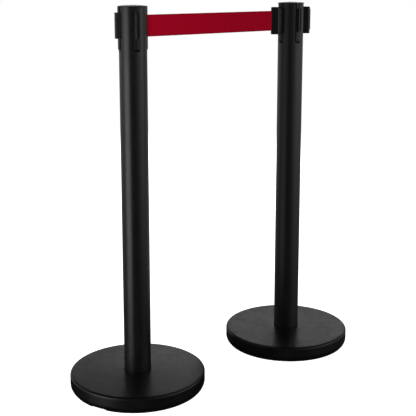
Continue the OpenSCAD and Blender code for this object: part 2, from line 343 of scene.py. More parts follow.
class Shader(Nodes):
    """A surface's look, measured in metres in its own object's coordinates."""

    def __init__(self, name):
        super().__init__(name)
        self.bsdf = self.tree.nodes["Principled BSDF"]
        self.spot = self.place()

    def plain(self, **values):
        """Sets sockets of the shader that are the same all over."""
        for name, value in values.items():
            socket = name.replace("_", " ").title().replace("Ior", "IOR")
            self.bsdf.inputs[socket].default_value = value

    def scaled(self, scale):
        return self.fed("Mapping", {"Vector": self.spot, "Scale": scale}).outputs["Vector"]

    def noise(self, scale, detail=4.0, rough=0.55, vector=None):
        inputs = {"Vector": vector or self.spot, "Scale": scale, "Detail": detail, "Roughness": rough}
        return self.fed("TexNoise", inputs).outputs["Fac"]

    def cells(self, scale):
        return self.fed("TexVoronoi", {"Vector": self.spot, "Scale": scale}).outputs["Distance"]

    def bump(self, height, strength, distance, under=None):
        inputs = {"Height": height, "Strength": strength, "Distance": distance}
        if under is not None:
            inputs["Normal"] = under
        return self.fed("Bump", inputs).outputs["Normal"]

    def colour(self, socket):
        self.link(socket, self.bsdf.inputs["Base Color"])

    def roughness(self, socket):
        self.link(socket, self.bsdf.inputs["Roughness"])

    def normal(self, socket):
        self.link(socket, self.bsdf.inputs["Normal"])


class Glow(Nodes):
    """A plain white glow that is seen but isn't sampled as a light."""

    def __init__(self, name):
        super().__init__(name)
        self.tree.nodes.remove(self.tree.nodes["Principled BSDF"])
        self.emission = self.fed("Emission", {"Strength": 1.0, "Color": WHITE})
        self.link(self.emission.outputs["Emission"], self.tree.nodes["Material Output"].inputs["Surface"])
        self.material.cycles.emission_sampling = "NONE"


def moulded_plastic(name, dark, light, rough, grain=900.0, grain_depth=0.00003):
    """Moulded black plastic: fine spark-eroded grain, faint flow marks and slightly uneven gloss."""
    shader = Shader(name)
    shader.plain(specular_ior_level=0.5)
    cloud = shader.noise(14.0, 3.0)
    shader.colour(shader.ramp(cloud, (0.3, dark), (0.7, light)))
    wear = shader.noise(60.0, 5.0, 0.65)
    shader.roughness(shader.ranged(wear, 0.3, 0.7, rough - 0.05, rough + 0.06))
    fine = shader.bump(shader.noise(grain * 2.5, 2.0, 0.6), 0.25, grain_depth)
    shader.normal(shader.bump(shader.cells(grain), 0.35, grain_depth, fine))
    return shader.material


def powder_coat(name, dark, light, rough):
    """Semi-gloss powder coat: a slight orange peel and a few dust nibs under an even film."""
    shader = Shader(name)
    shader.plain(specular_ior_level=0.5, coat_weight=0.25, coat_roughness=0.22)
    cloud = shader.noise(9.0, 3.0)
    shader.colour(shader.ramp(cloud, (0.3, dark), (0.7, light)))
    haze = shader.noise(35.0, 4.0, 0.6)
    shader.roughness(shader.ranged(haze, 0.3, 0.7, rough - 0.03, rough + 0.05))
    peel = shader.bump(shader.noise(420.0, 2.0, 0.5), 0.22, 0.00005)
    shader.normal(shader.bump(shader.noise(1900.0, 2.0, 0.5), 0.12, 0.00002, peel))
    return shader.material


def bright_metal(name, dark, light, rough, stretch):
    """Turned or rolled steel: fine lines that run round the piece, with a little dulling."""
    shader = Shader(name)
    shader.plain(metallic=1.0)
    lines = shader.noise(600.0, 3.0, 0.6, shader.scaled(stretch))
    shader.colour(shader.ramp(lines, (0.3, dark), (0.7, light)))
    shader.roughness(shader.ranged(shader.noise(90.0, 4.0), 0.3, 0.7, rough - 0.06, rough + 0.08))
    shader.normal(shader.bump(lines, 0.25, 0.00002))
    return shader.material


def cast_iron(name):
    """Sand casting under thin black paint: pitted, with rubbed grey high spots."""
    shader = Shader(name)
    shader.plain(metallic=0.25)
    lumps = shader.noise(260.0, 6.0, 0.7)
    shader.colour(shader.ramp(lumps, (0.35, (0.022, 0.022, 0.024)), (0.72, (0.09, 0.088, 0.086))))
    shader.roughness(shader.ranged(lumps, 0.3, 0.7, 0.62, 0.85))
    sand = shader.bump(shader.noise(1100.0, 4.0, 0.7), 0.5, 0.0002)
    shader.normal(shader.bump(lumps, 0.6, 0.0006, sand))
    return shader.material


def rubber(name):
    """Matt pad rubber with a fine linen-like press mark and a dusty bloom."""
    shader = Shader(name)
    shader.plain(specular_ior_level=0.3)
    bloom = shader.noise(45.0, 5.0, 0.65)
    shader.colour(shader.ramp(bloom, (0.35, (0.012, 0.012, 0.012)), (0.75, (0.035, 0.034, 0.032))))
    shader.roughness(shader.ranged(bloom, 0.3, 0.7, 0.72, 0.9))
    shader.normal(shader.bump(shader.cells(1400.0), 0.4, 0.00008))
    return shader.material


def acetal(name):
    """Natural white acetal of the spool."""
    shader = Shader(name)
    shader.plain(subsurface_weight=0.15, subsurface_scale=0.004)
    shader.colour(shader.ramp(shader.noise(20.0), (0.3, (0.70, 0.69, 0.64)), (0.7, (0.80, 0.79, 0.75))))
    shader.roughness(shader.ranged(shader.noise(70.0), 0.3, 0.7, 0.32, 0.42))
    shader.normal(shader.bump(shader.noise(500.0), 0.1, 0.00003))
    return shader.material


# Webbing: pitch of the picks along the belt and of the warp ribs up it, how wide its woven edge is, and its
# thread's colour: painted shade in the gaps, plain on the sides, and a painted highlight on top
PICK_PITCH = 0.9 * MM
WARP_PITCH = 1.5 * MM
SELVEDGE = 2.4 * MM
SELVEDGE_BLUR = 0.4 * MM
YARN_PAINTED_SHADE = (0.155, 0.000, 0.006)
YARN_RED = (0.355, 0.001, 0.013)
YARN_PAINTED_HIGHLIGHT = (0.50, 0.006, 0.026)


def webbing(name):
    """Woven polyester webbing: warp ribs crossed by picks, a firm darker selvedge, a soft sheen, and painted
    shade and highlight on the weave.
    """
    shader = Shader(name)
    shader.plain(sheen_weight=0.04, sheen_roughness=0.45, specular_ior_level=0.06)
    shader.plain(sheen_tint=(1.0, 0.04, 0.06, 1.0))
    split = shader.parts(shader.spot)
    along, up = split["X"], split["Z"]
    pick = shader.math("MULTIPLY", along, 2 * math.pi / PICK_PITCH)
    warp = shader.math("MULTIPLY", up, 2 * math.pi / WARP_PITCH)
    half_turns = shader.math("FLOOR", shader.math("DIVIDE", up, WARP_PITCH))
    shifted = shader.math("ADD", pick, shader.math("MULTIPLY", half_turns, math.pi))
    over = shader.ranged(shader.math("SINE", shifted), -1.0, 1.0, 0.0, 1.0)
    rib = shader.ranged(shader.math("COSINE", warp), -1.0, 1.0, 0.0, 1.0)
    fibre = shader.noise(2600.0, 3.0, 0.7, shader.scaled((0.25, 0.25, 1.0)))
    weave = shader.math("ADD", shader.math("MULTIPLY", over, 0.55), shader.math("MULTIPLY", rib, 0.45))
    height = shader.math("ADD", weave, shader.math("MULTIPLY", fibre, 0.25))
    from_middle = shader.math("ABSOLUTE", shader.math("SUBTRACT", up, BELT_MID))
    edge_at = (BELT_HIGH - BELT_LOW) / 2 - SELVEDGE
    edge = shader.ranged(from_middle, edge_at - SELVEDGE_BLUR, edge_at + SELVEDGE_BLUR, 0.0, 1.0)
    # Colour follows the weave's height: painted shade in the low gaps, painted highlight on the raised tops.
    shaded_weave_colour = shader.ramp(height, (0.15, YARN_PAINTED_SHADE), (0.55, YARN_RED), (0.95, YARN_PAINTED_HIGHLIGHT))
    cloud = shader.ranged(shader.noise(7.0, 2.0), 0.3, 0.7, 0.94, 1.04)
    dull = shader.math("MULTIPLY", cloud, shader.ranged(edge, 0.0, 1.0, 1.0, 0.74))
    tint = shader.fed("VectorMath", {0: shaded_weave_colour, "Scale": dull}, operation="SCALE")
    shader.colour(tint.outputs["Vector"])
    shader.roughness(shader.ranged(height, 0.0, 1.0, 0.72, 0.52))
    shader.normal(shader.bump(height, 0.55, 0.00012))
    return shader.material


def cool(grey, blue):
    """A near-black that leans a little to blue."""
    return (grey, grey, blue)


ROLLED = (1.0, 1.0, 12.0)
TURNED = (1.0, 1.0, 25.0)
# Each slot's kind of material, with its dark and light colours, its roughness, and its grain or line stretch
LOOKS = {
    "cover_black": (moulded_plastic, cool(0.0012, 0.0013), cool(0.0020, 0.0022), 0.34, 750.0),
    "cast_weight": (cast_iron,),
    "rubber_black": (rubber,),
    "zinc_steel": (bright_metal, (0.42, 0.43, 0.46), (0.60, 0.61, 0.64), 0.36, ROLLED),
    "tube_black": (powder_coat, cool(0.0019, 0.0021), cool(0.0028, 0.0031), 0.36),
    "head_black": (moulded_plastic, cool(0.0016, 0.0018), cool(0.0025, 0.0028), 0.38),
    "receiver_black": (moulded_plastic, cool(0.0014, 0.0016), cool(0.0022, 0.0025), 0.36),
    "cassette_black": (moulded_plastic, cool(0.012, 0.013), cool(0.02, 0.021), 0.5),
    "bright_steel": (bright_metal, (0.50, 0.51, 0.53), (0.68, 0.69, 0.71), 0.24, TURNED),
    "cap_black": (moulded_plastic, cool(0.0016, 0.0018), cool(0.0025, 0.0028), 0.34),
    "spring_steel": (bright_metal, (0.16, 0.19, 0.26), (0.34, 0.37, 0.43), 0.30, ROLLED),
    "spool_white": (acetal,),
    "belt_red": (webbing,),
    "clip_black": (moulded_plastic, cool(0.0012, 0.0014), cool(0.0020, 0.0023), 0.34),
}
MATERIALS = {name: make(name, *look) for name, (make, *look) in LOOKS.items()}

for part in frame["record"]["subparts"]:
    node = frame["nodes"][part["node"]]
    node.data.materials.clear()
    node.data.materials.append(MATERIALS[part["material_slot"]])

# ---------------------------------------------------------------- base cover

# The cover's section: its rim, its tucked-in foot, its wall, and the low crown that falls from tube to rim
RIM_FILLET = 5.8 * MM
RIM_Z = 39.6 * MM
FOOT_FILLET = 18 * MM
FOOT_Z = 15.5 * MM
FOOT_R = BASE_R - 7 * MM
COVER_T = 2 * MM
HOLE_R = TUBE_R + 0.3 * MM
HOLE_LIP = 1.2 * MM
CROWN_STEPS = 14
CROWN_BEND = 1.15
EDGE_ROUND = 0.6 * MM
# The two finger notches in its lower edge
NOTCH_W = 40 * MM
NOTCH_H = 5.4 * MM
NOTCH_CORNER = 2.5 * MM
NOTCH_TURN = {"left": math.radians(-157.7), "right": math.radians(-51.5)}
COVER_STEPS = 180


def cover_profile(rise):
    """Outer skin from the tube outwards and down, then the inner skin back, as radius and height. The rise is
    how far up the wall its lower edge is cut."""
    rim_r = BASE_R - RIM_FILLET
    rim_centre = RIM_Z - RIM_FILLET
    crown_r = HOLE_R + 2 * HOLE_LIP
    points = arc(HOLE_R + HOLE_LIP, COVER_TOP - HOLE_LIP, HOLE_LIP, 180, 95, 4)
    for i in range(1, CROWN_STEPS):
        t = i / CROWN_STEPS
        points.append((crown_r + (rim_r - crown_r) * t, COVER_TOP + (RIM_Z - COVER_TOP) * t**CROWN_BEND))
    points += arc(rim_r, rim_centre, RIM_FILLET, 90, 0, 10)
    points += [(BASE_R, rim_centre + (FOOT_Z - rim_centre) * t) for t in (0.25, 0.5, 0.75)]
    low = COVER_LOW + rise
    foot_r = BASE_R - FOOT_FILLET
    drop = FOOT_Z - low - EDGE_ROUND
    outer = arc(foot_r, FOOT_Z, FOOT_FILLET, 0, -math.degrees(math.asin(drop / FOOT_FILLET)), 10)
    inner_fillet = FOOT_FILLET - COVER_T
    inner = arc(foot_r, FOOT_Z, inner_fillet, -math.degrees(math.asin(drop / inner_fillet)), 0, 6)
    edge_r, back_r = outer[-1][0], inner[0][0]
    points += outer
    points += [(edge_r - 0.3 * EDGE_ROUND, low + 0.3 * EDGE_ROUND), (edge_r - EDGE_ROUND, low)]
    points += [(back_r + EDGE_ROUND, low)] + inner
    points += arc(rim_r, rim_centre, RIM_FILLET - COVER_T, 0, 90, 6)
    points += [(HOLE_R + 8 * MM, COVER_TOP - COVER_T - 0.2 * MM), (HOLE_R, COVER_TOP - COVER_T)]
    return points


def notch_rise(offset):
    """How far the cover's edge is raised at a distance along it from the notch's middle."""
    half = NOTCH_W / 2
    rise = NOTCH_H - COVER_LOW
    inward = half - abs(offset)
    if inward <= 0:
        return 0.0
    if inward >= NOTCH_CORNER:
        return rise
    return rise - NOTCH_CORNER + math.sqrt(NOTCH_CORNER**2 - (NOTCH_CORNER - inward) ** 2)


def cover_angles():
    """Even steps round the cover, with extra ones at the notches' corners."""
    half = NOTCH_W / 2
    insets = (-0.02 * MM, 0.02 * MM, 0.4 * MM, 1.1 * MM, NOTCH_CORNER)
    marks = [half - inset for inset in insets]
    extra = [s * m / FOOT_R + turn for turn in (0.0, math.pi) for m in marks for s in (-1, 1)]
    even = [2 * math.pi * i / COVER_STEPS for i in range(COVER_STEPS)]
    angles = sorted(set(round(a % (2 * math.pi), 7) for a in even + extra))
    return [a for i, a in enumerate(angles) if i == 0 or a - angles[i - 1] > 1e-5]


def base_cover(side):
    """The round shell of the base, with its finger notches along its own X."""
    vertices = []
    angles = cover_angles()
    for a in angles:
        nearest = min((a, a - math.pi, a - 2 * math.pi), key=abs)
        profile = cover_profile(notch_rise(nearest * FOOT_R))
        vertices += [(r * math.cos(a), r * math.sin(a), z) for r, z in profile]
    faces = grid_faces(len(angles), len(profile), closed_rows=True)
    obj = new_object(f"{side}_cover", vertices, faces, sharp=50)
    place = Matrix.Translation(AXIS[side]) @ Matrix.Rotation(NOTCH_TURN[side], 4, "Z")
    finish_piece(obj, place, f"{side}_post", "cover_black", f"{side}_base_cover")


# ---------------------------------------------------------------- head

# The four ribs, and the groove down three of them or the pocket in the one with the outlet
RIB_R = 33.5 * MM
RIB_W = 13 * MM
RIB_LOW = TOP - 101 * MM
RIB_TAPER = 5 * MM
RIB_ROUND = 0.9 * MM
RIB_ROOT = 29.5 * MM
GROOVE_HALF = 1.2 * MM
GROOVE_DEPTH = 1.2 * MM
POCKET_HALF = 4.55 * MM
POCKET_DEPTH = 5 * MM
# The core's wall inside the tube, and the belt's slit in its guide
CORE_OUT = 29.9 * MM
CORE_IN = 26.4 * MM
CORE_LOW = TOP - 102 * MM
SLIT_LOW = BELT_LOW - 2 * MM
SLIT_HIGH = BELT_HIGH + 2 * MM
SLIT_HALF = 1.2 * MM
GUIDE_EXTRA = 2 * MM
GUIDE_GAP = 0.05 * MM
# How far in from a rib's side its columns of vertices stand, in millimetres, how many even rows it has, and
# how wide the slope of its channel's wall is
RIB_INSETS = (0.0, 0.12, 0.3, 0.55, 0.9, 1.4)
RIB_ROWS = 24
CHANNEL_WALL = 0.15 * MM
RIB_TOP_ROUND = 0.4 * MM


def quarter_fall(distance, radius):
    """How far a rounded edge has fallen at a distance inwards from it."""
    if distance >= radius:
        return 0.0
    inset = radius - max(distance, 0.0)
    return radius - math.sqrt(max(radius**2 - inset**2, 0.0))


def rib(name, dip_half, dip_depth, dip_low, dip_high):
    """One rib of the head, about +X: its face bends round with the tube, its edges are rounded, its lower end
    is round and tapers into the tube, and it has a sunk channel of the width and depth asked for."""
    half = RIB_W / 2
    columns = [half - inset * MM for inset in RIB_INSETS] + [dip_half + CHANNEL_WALL, dip_half, dip_half / 2]
    columns = [-c for c in columns] + [0.0] + columns[::-1]
    round_rows = [RIB_LOW + half * (1 - math.cos(math.radians(a))) for a in range(6, 91, 6)]
    straight_h = TUBE_TOP - RIB_LOW - half
    straight = [RIB_LOW + half + straight_h * i / RIB_ROWS for i in range(1, RIB_ROWS + 1)]
    marks = [dip_low - CHANNEL_WALL, dip_low, dip_high, dip_high + CHANNEL_WALL]
    marks += [TUBE_TOP - RIB_TOP_ROUND, TUBE_TOP - 0.1 * MM]
    rows = sorted(z for z in round_rows + straight + marks if z <= TUBE_TOP)

    def reach(z):
        below = RIB_LOW + half - z
        return half if below <= 0 else math.sqrt(max(half**2 - below**2, 0.0))

    def face_radius(y, z, width):
        taper = max(0.0, 1 - (z - RIB_LOW) / RIB_TAPER)
        radius = RIB_R - (RIB_R - TUBE_R + 0.2 * MM) * taper
        radius -= quarter_fall(width - abs(y), RIB_ROUND) + quarter_fall(TUBE_TOP - z, RIB_TOP_ROUND)
        if abs(y) <= dip_half + 1e-9 and dip_low <= z <= dip_high:
            radius -= dip_depth
        return radius

    vertices, count = [], len(columns)
    for z in rows:
        width = reach(z)
        for c in columns:
            y = c * width / half
            radius = face_radius(y, z, width)
            vertices.append((math.sqrt(radius**2 - y**2), y, z))
    faces = [
        (i * count + k, i * count + k + 1, (i + 1) * count + k + 1, (i + 1) * count + k)
        for i in range(len(rows) - 1)
        for k in range(count - 1)
    ]
    last = len(rows) - 1
    ring = [i * count for i in range(last, -1, -1)]
    ring += list(range(1, count))
    ring += [i * count + count - 1 for i in range(1, last + 1)]
    ring += [last * count + k for k in range(count - 2, 0, -1)]
    first_root = len(vertices)
    for i in ring:
        x, y, z = vertices[i]
        vertices.append((math.sqrt(RIB_ROOT**2 - y**2), y, z))
    size = len(ring)
    faces += [
        (ring[i], ring[(i + 1) % size], first_root + (i + 1) % size, first_root + i) for i in range(size)
    ]
    faces.append(tuple(range(first_root, first_root + size)))
    return new_object(name, vertices, faces, sharp=40)


def head(side):
    """The moulded core: its inner wall, the four ribs, and the opening for the belt."""
    gap = math.asin(POCKET_HALF / CORE_OUT)
    wall = [(CORE_IN, CORE_LOW), (CORE_OUT, CORE_LOW), (CORE_OUT, TUBE_TOP), (CORE_IN, TUBE_TOP)]
    pieces = [part_lathe("core_wall", wall, 88, gap, 2 * math.pi - gap)]
    guide_low, guide_high = SLIT_LOW - GUIDE_EXTRA, SLIT_HIGH + GUIDE_EXTRA
    pieces.append(rib("outlet_rib", POCKET_HALF, POCKET_DEPTH, guide_low, guide_high))
    for turn in (90, 180, 270):
        one = rib("rib", GROOVE_HALF, GROOVE_DEPTH, RECEIVER_LOW, TUBE_TOP - 1 * MM)
        one.data.transform(Matrix.Rotation(math.radians(turn), 4, "Z"))
        pieces.append(one)
    obj = joined(f"{side}_head", pieces)
    finish_piece(obj, post_place(side), f"{side}_post", "head_black", f"{side}_head_core")


def outlet(side):
    """The guide that the belt leaves through: a block with rounded lips along its slit."""
    half = POCKET_HALF - GUIDE_GAP
    spread = math.degrees(math.asin(half / RIB_R))
    back = CORE_IN + 0.4 * MM
    outline = arc(0, 0, RIB_R + GUIDE_GAP, -spread, spread, 8) + [(back, half), (back, -half)]
    low = SLIT_LOW - GUIDE_EXTRA + 2 * GUIDE_GAP
    high = SLIT_HIGH + GUIDE_EXTRA - 2 * GUIDE_GAP
    obj = prism(f"{side}_outlet", outline, low, high)
    cut(obj, box_mesh("slit", (20 * MM, -SLIT_HALF, SLIT_LOW), (40 * MM, SLIT_HALF, SLIT_HIGH)))
    round_edges(obj, 0.6 * MM, 3, 40)
    finish_piece(obj, post_place(side), f"{side}_post", "receiver_black", f"{side}_outlet_guide")


CAP_R = 33 * MM
CAP_DOME = 2 * MM
CAP_RIM_ROUND = 0.9 * MM
CAP_SKIRT_T = 2.4 * MM
CAP_SKIRT_H = 2 * MM
CAP_STEP_R = 28.6 * MM
# The shallow step between the cap's dome and its rim, in millimetres out from the step and down from the dome
CAP_STEP = ((-0.5, 0.15), (-0.1, 0.6), (0.4, 0.6), (0.8, 0.3))


def cap(side):
    """The cap: a low dome inside a rounded rim, with a shallow step where the two meet, and a skirt below."""

    def dome(r):
        return TOP - CAP_DOME * (r / CAP_R) ** 2

    low = TUBE_TOP
    skirt_r = CORE_IN - 0.1 * MM
    skirt_in_r = skirt_r - CAP_SKIRT_T
    skirt_low = low - CAP_SKIRT_H
    profile = [(0, TOP)] + [(r * MM, dome(r * MM)) for r in (5, 10, 15, 19, 22.5, 25.5, 27.2)]
    profile += [(CAP_STEP_R + out * MM, dome(CAP_STEP_R) - down * MM) for out, down in CAP_STEP]
    profile += arc(CAP_R - CAP_RIM_ROUND, TOP - CAP_DOME - CAP_RIM_ROUND, CAP_RIM_ROUND, 85, 0, 6)
    profile += [(CAP_R, low + 0.3 * MM), (CAP_R - 0.3 * MM, low)]
    profile += [(skirt_r, low), (skirt_r, skirt_low), (skirt_in_r, skirt_low), (skirt_in_r, low)]
    profile += [(0, low)]
    obj = disc_lathe(f"{side}_cap_moulding", profile, 128, sharp=50)
    finish_piece(obj, post_place(side), f"{side}_post", "cap_black", f"{side}_cap")


# ---------------------------------------------------------------- receivers and clips

# A receiver's outside, and the slot behind its slit
RECEIVER_R = 40.3 * MM
RECEIVER_W = 11 * MM
RECEIVER_CORNER = 1.2 * MM
SLOT_IN = 34.2 * MM
SLOT_OUT = 37.9 * MM
SLOT_W = 7 * MM
SLIT_W = 2.2 * MM
SLOT_FLOOR = 3 * MM
# Which way from the outlet each receiver stands
RECEIVERS = {"left": 90, "back": 180, "right": 270}
# How far a cutter reaches past the face that it opens
OVERCUT = 5 * MM


def receiver(side, where):
    """A C-shaped channel on a rib: open at the top, closed at the bottom, with softened edges."""
    half, corner = RECEIVER_W / 2, RECEIVER_CORNER
    spread = math.degrees(math.asin(half / RIB_R))
    outline = arc(0, 0, RIB_R - 0.05 * MM, spread, -spread, 8)
    outline += [(RECEIVER_R - corner, -half), (RECEIVER_R, -half + corner)]
    outline += [(RECEIVER_R, half - corner), (RECEIVER_R - corner, half)]
    obj = prism(f"{side}_receiver_{where}_channel", outline, RECEIVER_LOW, RECEIVER_HIGH)
    floor_z, high = RECEIVER_LOW + SLOT_FLOOR, RECEIVER_HIGH + OVERCUT
    cut(obj, box_mesh("slot", (SLOT_IN, -SLOT_W / 2, floor_z), (SLOT_OUT, SLOT_W / 2, high)))
    slit_in, slit_out = SLOT_OUT - 0.5 * MM, RECEIVER_R + OVERCUT
    cut(obj, box_mesh("slit", (slit_in, -SLIT_W / 2, floor_z), (slit_out, SLIT_W / 2, high)))
    round_edges(obj, 0.45 * MM, 3, 30)
    turn = math.radians(RECEIVERS[where])
    node = f"{side}_receiver_{where}"
    finish_piece(obj, post_place(side, turn), f"{side}_post", "receiver_black", node)


# A clip's plan, measured out from the axis of the post that it hangs on, and the mouth that takes the belt
CLIP_BACK = 40.9 * MM
CLIP_FRONT = 48.4 * MM
CLIP_TAPER = 56
NOSE_TIP = 59.7 * MM
NOSE_HALF = 3.2 * MM
CLIP_HALF = 10.5 * MM
CLIP_BACK_CORNER = 2 * MM
CLIP_FRONT_CORNER = 3 * MM
CLIP_ROUND = 2.2 * MM
MOUTH_W = 2.4 * MM
MOUTH_L = 11 * MM
HOME_SHIFT = RIB_R + 0.3 * MM + NOSE_TIP


def clip_place(side):
    """The left belt's clip hangs on the right post; the right post's own clip rests against its outlet."""
    if side == "left":
        return post_place("right", math.pi)
    home = Matrix.Translation((HOME_SHIFT, 0, 0)) @ Matrix.Rotation(math.pi, 4, "Z")
    return post_place("right") @ home


def clip_outline():
    """The clip's plan: a rounded back, straight sides and a tapered nose."""
    back, front = CLIP_BACK_CORNER, CLIP_FRONT_CORNER
    half_side = arc(CLIP_BACK + back, CLIP_HALF - back, back, 180, 90, 6)
    half_side += arc(CLIP_FRONT - front, CLIP_HALF - front, front, 90, CLIP_TAPER, 6)
    half_side += arc(NOSE_TIP - NOSE_HALF, 0, NOSE_HALF, CLIP_TAPER, 0, 6)
    return half_side + [(x, -y) for x, y in half_side[-2::-1]]


def clip(side):
    """The belt's end piece: a tall moulding with a tapered nose, a slot for the belt, and rounded ends."""
    obj = prism(f"{side}_clip_moulding", clip_outline()[::-1], CLIP_LOW, CLIP_HIGH)
    round_edges(obj, CLIP_ROUND, 5, 60)
    mouth_low, mouth_high = BELT_LOW - 1 * MM, BELT_HIGH + 1 * MM
    start, end = NOSE_TIP - MOUTH_L, NOSE_TIP + OVERCUT
    cut(obj, box_mesh("mouth", (start, -MOUTH_W / 2, mouth_low), (end, MOUTH_W / 2, mouth_high)))
    round_edges(obj, 0.35 * MM, 2, 60)
    finish_piece(obj, clip_place(side), f"{side}_clip", "clip_black", f"{side}_clip_body")


# ---------------------------------------------------------------- belts

BELT_T = 0.7 * MM
PLAIN_ROWS = 8
# Heights of the rows of vertices in the woven edge, and where it is rounded and firm up to, in millimetres
SELVEDGE_ROWS = (0.0, 0.12, 0.35, 0.8, 1.6, 2.4, 3.0)
SELVEDGE_ROUND = 0.8
SELVEDGE_FIRM = 2.5


def selvedge_half(height, half):
    """Half the webbing's thickness at a height in millimetres over its edge: rounded, then a bit firmer."""
    rounded = half * min(1.0, 0.25 + 0.75 * math.sqrt(min(height / SELVEDGE_ROUND, 1.0)))
    return rounded * (1.12 if height < SELVEDGE_FIRM else 1.0)


def strip(name, path, low, high, thickness):
    """Webbing on edge along a path in plan, with rounded and slightly firmer selvedges."""
    half = thickness / 2
    edge_rows = [(low + h * MM, selvedge_half(h, half)) for h in SELVEDGE_ROWS]
    plain_rows = [(low + (high - low) * i / PLAIN_ROWS, half) for i in range(1, PLAIN_ROWS)]
    rows = edge_rows + plain_rows + [(high - (z - low), t) for z, t in edge_rows[::-1]]
    section = [(t, z) for z, t in rows] + [(-t, z) for z, t in rows[::-1]]
    points = [np.array(p, float) for p in path]
    last = len(points) - 1
    vertices = []
    for i, p in enumerate(points):
        run = points[min(i + 1, last)] - points[max(i - 1, 0)]
        side_way = np.array((-run[1], run[0])) / np.hypot(*run)
        vertices += [(*(p + side_way * across), z) for across, z in section]
    n = len(section)
    faces = grid_faces(len(points), n)
    faces.append(tuple(range(n - 1, -1, -1)))
    faces.append(tuple(last * n + k for k in range(n)))
    return new_object(name, vertices, faces, sharp=60)


def in_plan(place, x, y=0.0):
    """A point of a placed shape's plan, in the shared plan."""
    p = place @ Vector((x, y, 0))
    return (p.x, p.y)


def curve(a, b, c, d, steps):
    """A cubic curve through two ends with their handles."""
    points = []
    for i in range(steps + 1):
        t = i / steps
        s = 1 - t
        weights = (s**3, 3 * s * s * t, 3 * s * t * t, t**3)
        points.append(tuple(sum(w * p[k] for w, p in zip(weights, (a, b, c, d))) for k in (0, 1)))
    return points


def dress_belt(obj, nodes):
    """Gives a length of webbing its look, bakes its place into its mesh, and hides the frame's parts that it
    stands for.
    """
    obj.data.materials.append(MATERIALS["belt_red"])
    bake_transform(obj)
    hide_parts(*nodes)


# The belt's run inside each head, in millimetres from the post's axis: off its roll, and round the guide pin
ROUND_PIN = [(25.35, -0.2), (26.9, 0)]
INNER_RUN = {"left": [(17.9, 11.9)] + ROUND_PIN, "right": [(21.2, 8.9)] + ROUND_PIN}
BELT_HANDLE = 14 * MM
# How far back from its clip end, along X, the left belt is split into its short length
LIFT_RUN = 0.16


def left_belt():
    """The left belt, in two lengths that meet: the long one runs out between the posts, and the short one
    ends in the clip."""
    home, away = post_place("left"), post_place("right", math.pi)
    inside = [in_plan(home, x * MM, y * MM) for x, y in INNER_RUN["left"]]
    free = curve(
        in_plan(home, RIB_R),
        in_plan(home, RIB_R + BELT_HANDLE),
        in_plan(away, NOSE_TIP + BELT_HANDLE),
        in_plan(away, NOSE_TIP),
        96,
    )
    path = inside + free + [in_plan(away, NOSE_TIP - MOUTH_L + 1 * MM)]
    end_x = path[-1][0]
    split = min(range(len(path)), key=lambda i: abs(path[i][0] - (end_x - LIFT_RUN)))
    long_path, clip_path = path[: split + 1], path[split:]
    long_run = strip("left_belt_run", long_path, BELT_LOW, BELT_HIGH, BELT_T)
    dress_belt(long_run, ["left_belt"])
    clip_run = strip("left_belt_clip_run", clip_path, BELT_LOW, BELT_HIGH, BELT_T)
    dress_belt(clip_run, ["left_belt"])


def right_belt():
    """The right post's own belt, wound in: it shows only when its clip is pulled out."""
    home = post_place("right")
    inside = [in_plan(home, x * MM, y * MM) for x, y in INNER_RUN["right"]]
    start, end = 27.5 * MM, HOME_SHIFT - NOSE_TIP + MOUTH_L - 1 * MM
    straight = [in_plan(home, start + (end - start) * i / 40) for i in range(41)]
    path = inside + straight
    obj = strip("right_belt_run", path, BELT_LOW, BELT_HIGH, BELT_T)
    dress_belt(obj, ["right_belt"])


# ---------------------------------------------------------------- stage

FLOOR_SIZE = 22.0
FLOOR_GLOW = 0.985
DOME_R = 24.0
ROOM = (0.022, 0.022, 0.023)


def hide_from(obj, *rays):
    """Keeps an object or a light out of some kinds of ray."""
    for ray in rays:
        setattr(obj, f"visible_{ray}", False)


def pale_floor():
    """A white floor that glows evenly by itself, so that only a faint shadow is left at the feet."""
    shader = Shader("floor")
    shader.plain(specular_ior_level=0.2, roughness=0.7, emission_strength=FLOOR_GLOW, emission_color=WHITE)
    shader.colour(shader.ramp(shader.noise(3.0), (0.3, (0.86, 0.86, 0.86)), (0.7, (0.88, 0.88, 0.88))))
    shader.material.cycles.emission_sampling = "NONE"
    size = FLOOR_SIZE
    corners = [(-size, -size, 0), (size, -size, 0), (size, size, 0), (-size, size, 0)]
    floor = new_object("floor", corners, [(0, 1, 2, 3)])
    floor.data.materials.append(shader.material)
    hide_from(floor, "glossy", "diffuse")


def pale_dome():
    """The white backdrop that the camera sees."""
    mesh = bpy.data.meshes.new("dome")
    work = bmesh.new()
    bmesh.ops.create_uvsphere(work, u_segments=32, v_segments=16, radius=DOME_R)
    work.to_mesh(mesh)
    work.free()
    dome = bpy.data.objects.new("dome", mesh)
    bpy.context.scene.collection.objects.link(dome)
    dome.data.materials.append(Glow("dome").material)
    hide_from(dome, "glossy", "diffuse", "shadow")


def studio_world():
    """The dim room beyond the light cards."""
    world = bpy.data.worlds.new("studio")
    bpy.context.scene.world = world
    world.use_nodes = True
    back = world.node_tree.nodes["Background"]
    back.inputs["Color"].default_value = (*ROOM, 1)
    back.inputs["Strength"].default_value = 1.0


TO_CAMERA = Vector((-math.sin(CAMERA_YAW), -math.cos(CAMERA_YAW), 0))
CAMERA_RIGHT = Vector((math.cos(CAMERA_YAW), -math.sin(CAMERA_YAW), 0))
PAIR = Vector((0, 0, 0))
HEART = Vector((0, 0, 0.45))


def studio_place(centre, angle, distance, height):
    """A point round a centre. The angle is from the camera's direction, positive to the camera's right."""
    a = math.radians(angle)
    return centre + distance * (math.cos(a) * TO_CAMERA + math.sin(a) * CAMERA_RIGHT) + Vector((0, 0, height))


def facing(place, aim):
    """The matrix that puts a card or a light at a place, facing the aim."""
    return Matrix.Translation(place) @ (aim - place).to_track_quat("-Z", "Y").to_matrix().to_4x4()


def reflections_only(obj):
    hide_from(obj, "camera", "diffuse", "shadow")


